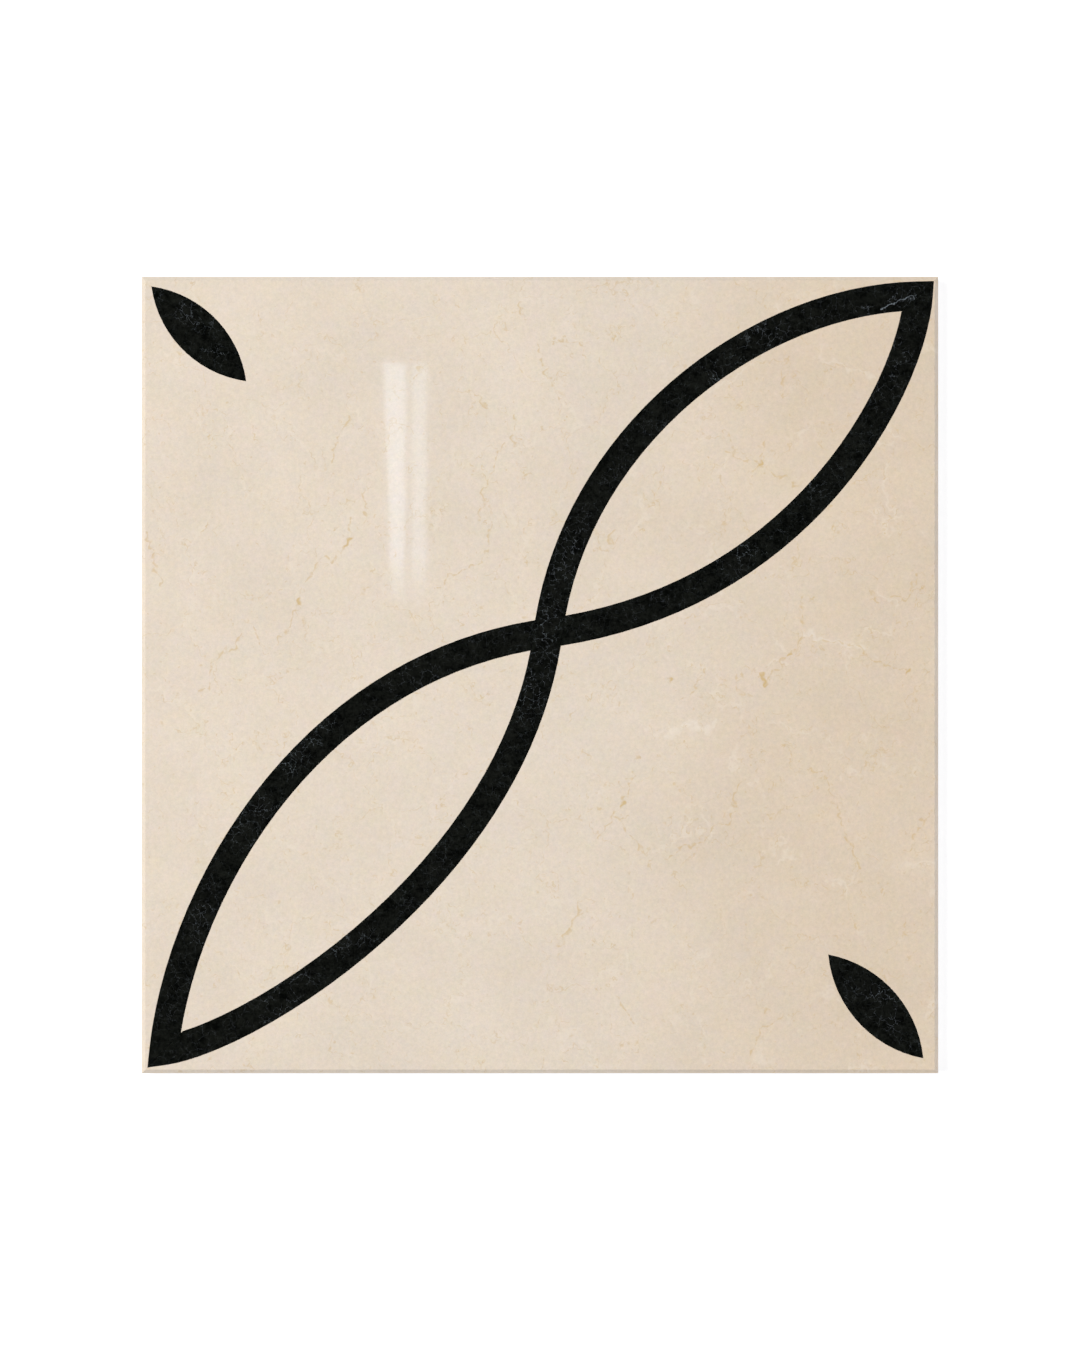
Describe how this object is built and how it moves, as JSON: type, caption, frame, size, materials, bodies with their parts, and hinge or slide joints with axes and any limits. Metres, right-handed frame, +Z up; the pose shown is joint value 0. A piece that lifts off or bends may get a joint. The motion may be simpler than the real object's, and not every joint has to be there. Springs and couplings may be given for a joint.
{
  "type": "marble floor tile",
  "caption": "Square cream marble floor tile with a chamfered polished face, inlaid flush with crossing black marble bands that form two pointed loops, and with black corner leaves.",
  "frame": {"origin": "centre of the slab's underside, the face that is bedded on the floor", "axes": "+Z up out of the polished face, +X to the picture's right, +Y to the picture's top"},
  "size_m": [0.6, 0.6, 0.02],
  "materials": {
    "cream_marble": "polished face, sawn edges and back",
    "black_marble": "polished face, sawn edges"
  },
  "bodies": {
    "root": {"marble_slab": "cream_marble", "long_band": "black_marble", "upper_arm": "black_marble", "lower_arm": "black_marble", "upper_left_leaf": "black_marble", "lower_right_leaf": "black_marble"}
  },
  "joints": []
}
